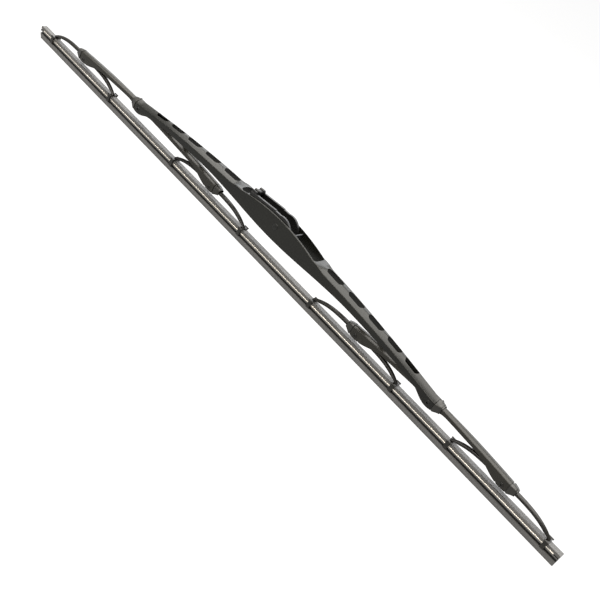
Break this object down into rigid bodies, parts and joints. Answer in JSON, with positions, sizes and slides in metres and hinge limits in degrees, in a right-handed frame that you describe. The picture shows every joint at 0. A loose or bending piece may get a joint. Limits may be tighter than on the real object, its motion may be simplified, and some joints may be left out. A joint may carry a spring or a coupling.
{
  "type": "wiper blade",
  "caption": "Framed windscreen wiper blade: steel bridge with raised cheeks and a hook adapter, pivoting levers, claw yokes and a rubber squeegee on spring strips.",
  "frame": {"origin": "centre of the adapter's barrel, on the axis of the pin that the wiper arm's hook turns about", "axes": "+X along the blade towards its right end, +Y along the arm pin, +Z away from the glass"},
  "size_m": [0.6497, 0.016, 0.0509],
  "materials": {
    "bridge_paint": "satin black powder coat",
    "lever_paint": "satin black powder coat",
    "yoke_paint": "satin black powder coat",
    "cap_plastic": "moulded satin plastic",
    "rivet_paint": "satin black",
    "adapter_plastic": "glossy moulded plastic",
    "squeegee": "graphite-coated rubber",
    "spring_steel": "bright rolled strip"
  },
  "bodies": {
    "adapter": {"arm_adapter": "adapter_plastic"},
    "bridge": {"primary_bridge": "bridge_paint", "arm_pin": "rivet_paint", "lever_cap_left": "cap_plastic", "lever_cap_right": "cap_plastic", "lever_rivet_left": "rivet_paint", "lever_rivet_right": "rivet_paint", "squeegee_rubber": "squeegee", "flexor_strip_near": "spring_steel", "flexor_strip_far": "spring_steel"},
    "lever_left": {"secondary_lever_left": "lever_paint", "yoke_cap_left_outer": "cap_plastic", "yoke_cap_left_inner": "cap_plastic", "yoke_rivet_left_outer": "rivet_paint", "yoke_rivet_left_inner": "rivet_paint"},
    "lever_right": {"secondary_lever_right": "lever_paint", "yoke_cap_right_inner": "cap_plastic", "yoke_cap_right_outer": "cap_plastic", "yoke_rivet_right_inner": "rivet_paint", "yoke_rivet_right_outer": "rivet_paint"},
    "yoke_lo": {"yoke_left_outer": "yoke_paint"},
    "yoke_li": {"yoke_left_inner": "yoke_paint"},
    "yoke_ri": {"yoke_right_inner": "yoke_paint"},
    "yoke_ro": {"yoke_right_outer": "yoke_paint"}
  },
  "joints": [
    {"name": "arm_pivot", "type": "hinge", "parent": "adapter", "child": "bridge", "pos_m": [0, 0, 0], "axis": [0, 1, 0], "range_deg": [-15, 15]},
    {"name": "lever_left_pivot", "type": "hinge", "parent": "bridge", "child": "lever_left", "pos_m": [-0.181, 0, -0.0154], "axis": [0, 1, 0], "range_deg": [-4, 4], "deforming": ["squeegee_rubber", "flexor_strip_near", "flexor_strip_far"]},
    {"name": "lever_right_pivot", "type": "hinge", "parent": "bridge", "child": "lever_right", "pos_m": [0.181, 0, -0.0154], "axis": [0, 1, 0], "range_deg": [-4, 4], "deforming": ["squeegee_rubber", "flexor_strip_near", "flexor_strip_far"]},
    {"name": "yoke_left_outer_pivot", "type": "hinge", "parent": "lever_left", "child": "yoke_lo", "pos_m": [-0.2661, 0, -0.0206], "axis": [0, 1, 0], "range_deg": [-4.5, 4.5], "deforming": ["squeegee_rubber", "flexor_strip_near", "flexor_strip_far"]},
    {"name": "yoke_left_inner_pivot", "type": "hinge", "parent": "lever_left", "child": "yoke_li", "pos_m": [-0.0775, 0, -0.0206], "axis": [0, 1, 0], "range_deg": [-4.5, 4.5], "deforming": ["squeegee_rubber", "flexor_strip_near", "flexor_strip_far"]},
    {"name": "yoke_right_inner_pivot", "type": "hinge", "parent": "lever_right", "child": "yoke_ri", "pos_m": [0.105, 0, -0.0206], "axis": [0, 1, 0], "range_deg": [-4.5, 4.5], "deforming": ["squeegee_rubber", "flexor_strip_near", "flexor_strip_far"]},
    {"name": "yoke_right_outer_pivot", "type": "hinge", "parent": "lever_right", "child": "yoke_ro", "pos_m": [0.257, 0, -0.0206], "axis": [0, 1, 0], "range_deg": [-4.5, 4.5], "deforming": ["squeegee_rubber", "flexor_strip_near", "flexor_strip_far"]}
  ]
}
